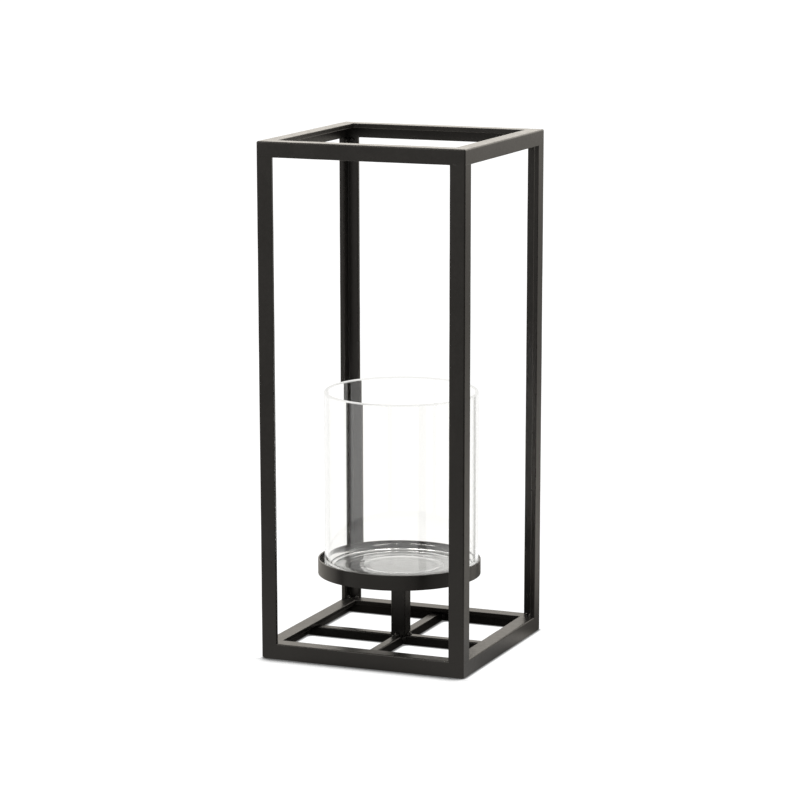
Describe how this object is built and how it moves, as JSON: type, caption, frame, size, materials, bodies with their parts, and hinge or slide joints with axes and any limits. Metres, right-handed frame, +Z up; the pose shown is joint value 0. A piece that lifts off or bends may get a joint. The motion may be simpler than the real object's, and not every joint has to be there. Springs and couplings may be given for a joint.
{
  "type": "hurricane candle lantern",
  "caption": "Open square steel frame with a round tray on a central post, holding a clear straight glass cylinder for a candle.",
  "frame": {"origin": "centre of the footprint, on the ground under the base ring", "axes": "+Z up, +X to the right side, -Y to the front"},
  "size_m": [0.178, 0.178, 0.422],
  "materials": {
    "black_steel": "satin black powder coat",
    "black_tray": "semi-gloss black powder coat",
    "painted_weld": "semi-gloss black powder coat over weld beads",
    "clear_glass": "clear, polished"
  },
  "bodies": {
    "frame": {"base_rail_back": "black_steel", "base_rail_front": "black_steel", "base_rail_left": "black_steel", "base_rail_right": "black_steel", "centre_post": "black_steel", "cross_bar_left": "black_steel", "cross_bar_right": "black_steel", "cross_bar_through": "black_steel", "top_rail_back": "black_steel", "top_rail_front": "black_steel", "top_rail_left": "black_steel", "top_rail_right": "black_steel", "tray_floor": "black_tray", "tray_rim": "black_tray", "upright_back_left": "black_steel", "upright_back_right": "black_steel", "upright_front_left": "black_steel", "upright_front_right": "black_steel", "weld_base_corners": "painted_weld", "weld_cross_ends": "painted_weld", "weld_crossing": "painted_weld", "weld_post_foot": "painted_weld", "weld_post_head": "painted_weld", "weld_top_corners": "painted_weld", "weld_tray_seam": "painted_weld"},
    "glass": {"glass_cylinder": "clear_glass"}
  },
  "joints": [
    {"name": "glass_lift", "type": "slide", "parent": "frame", "child": "glass", "axis": [0, 0, 1], "range_m": [0, 0.37]}
  ]
}
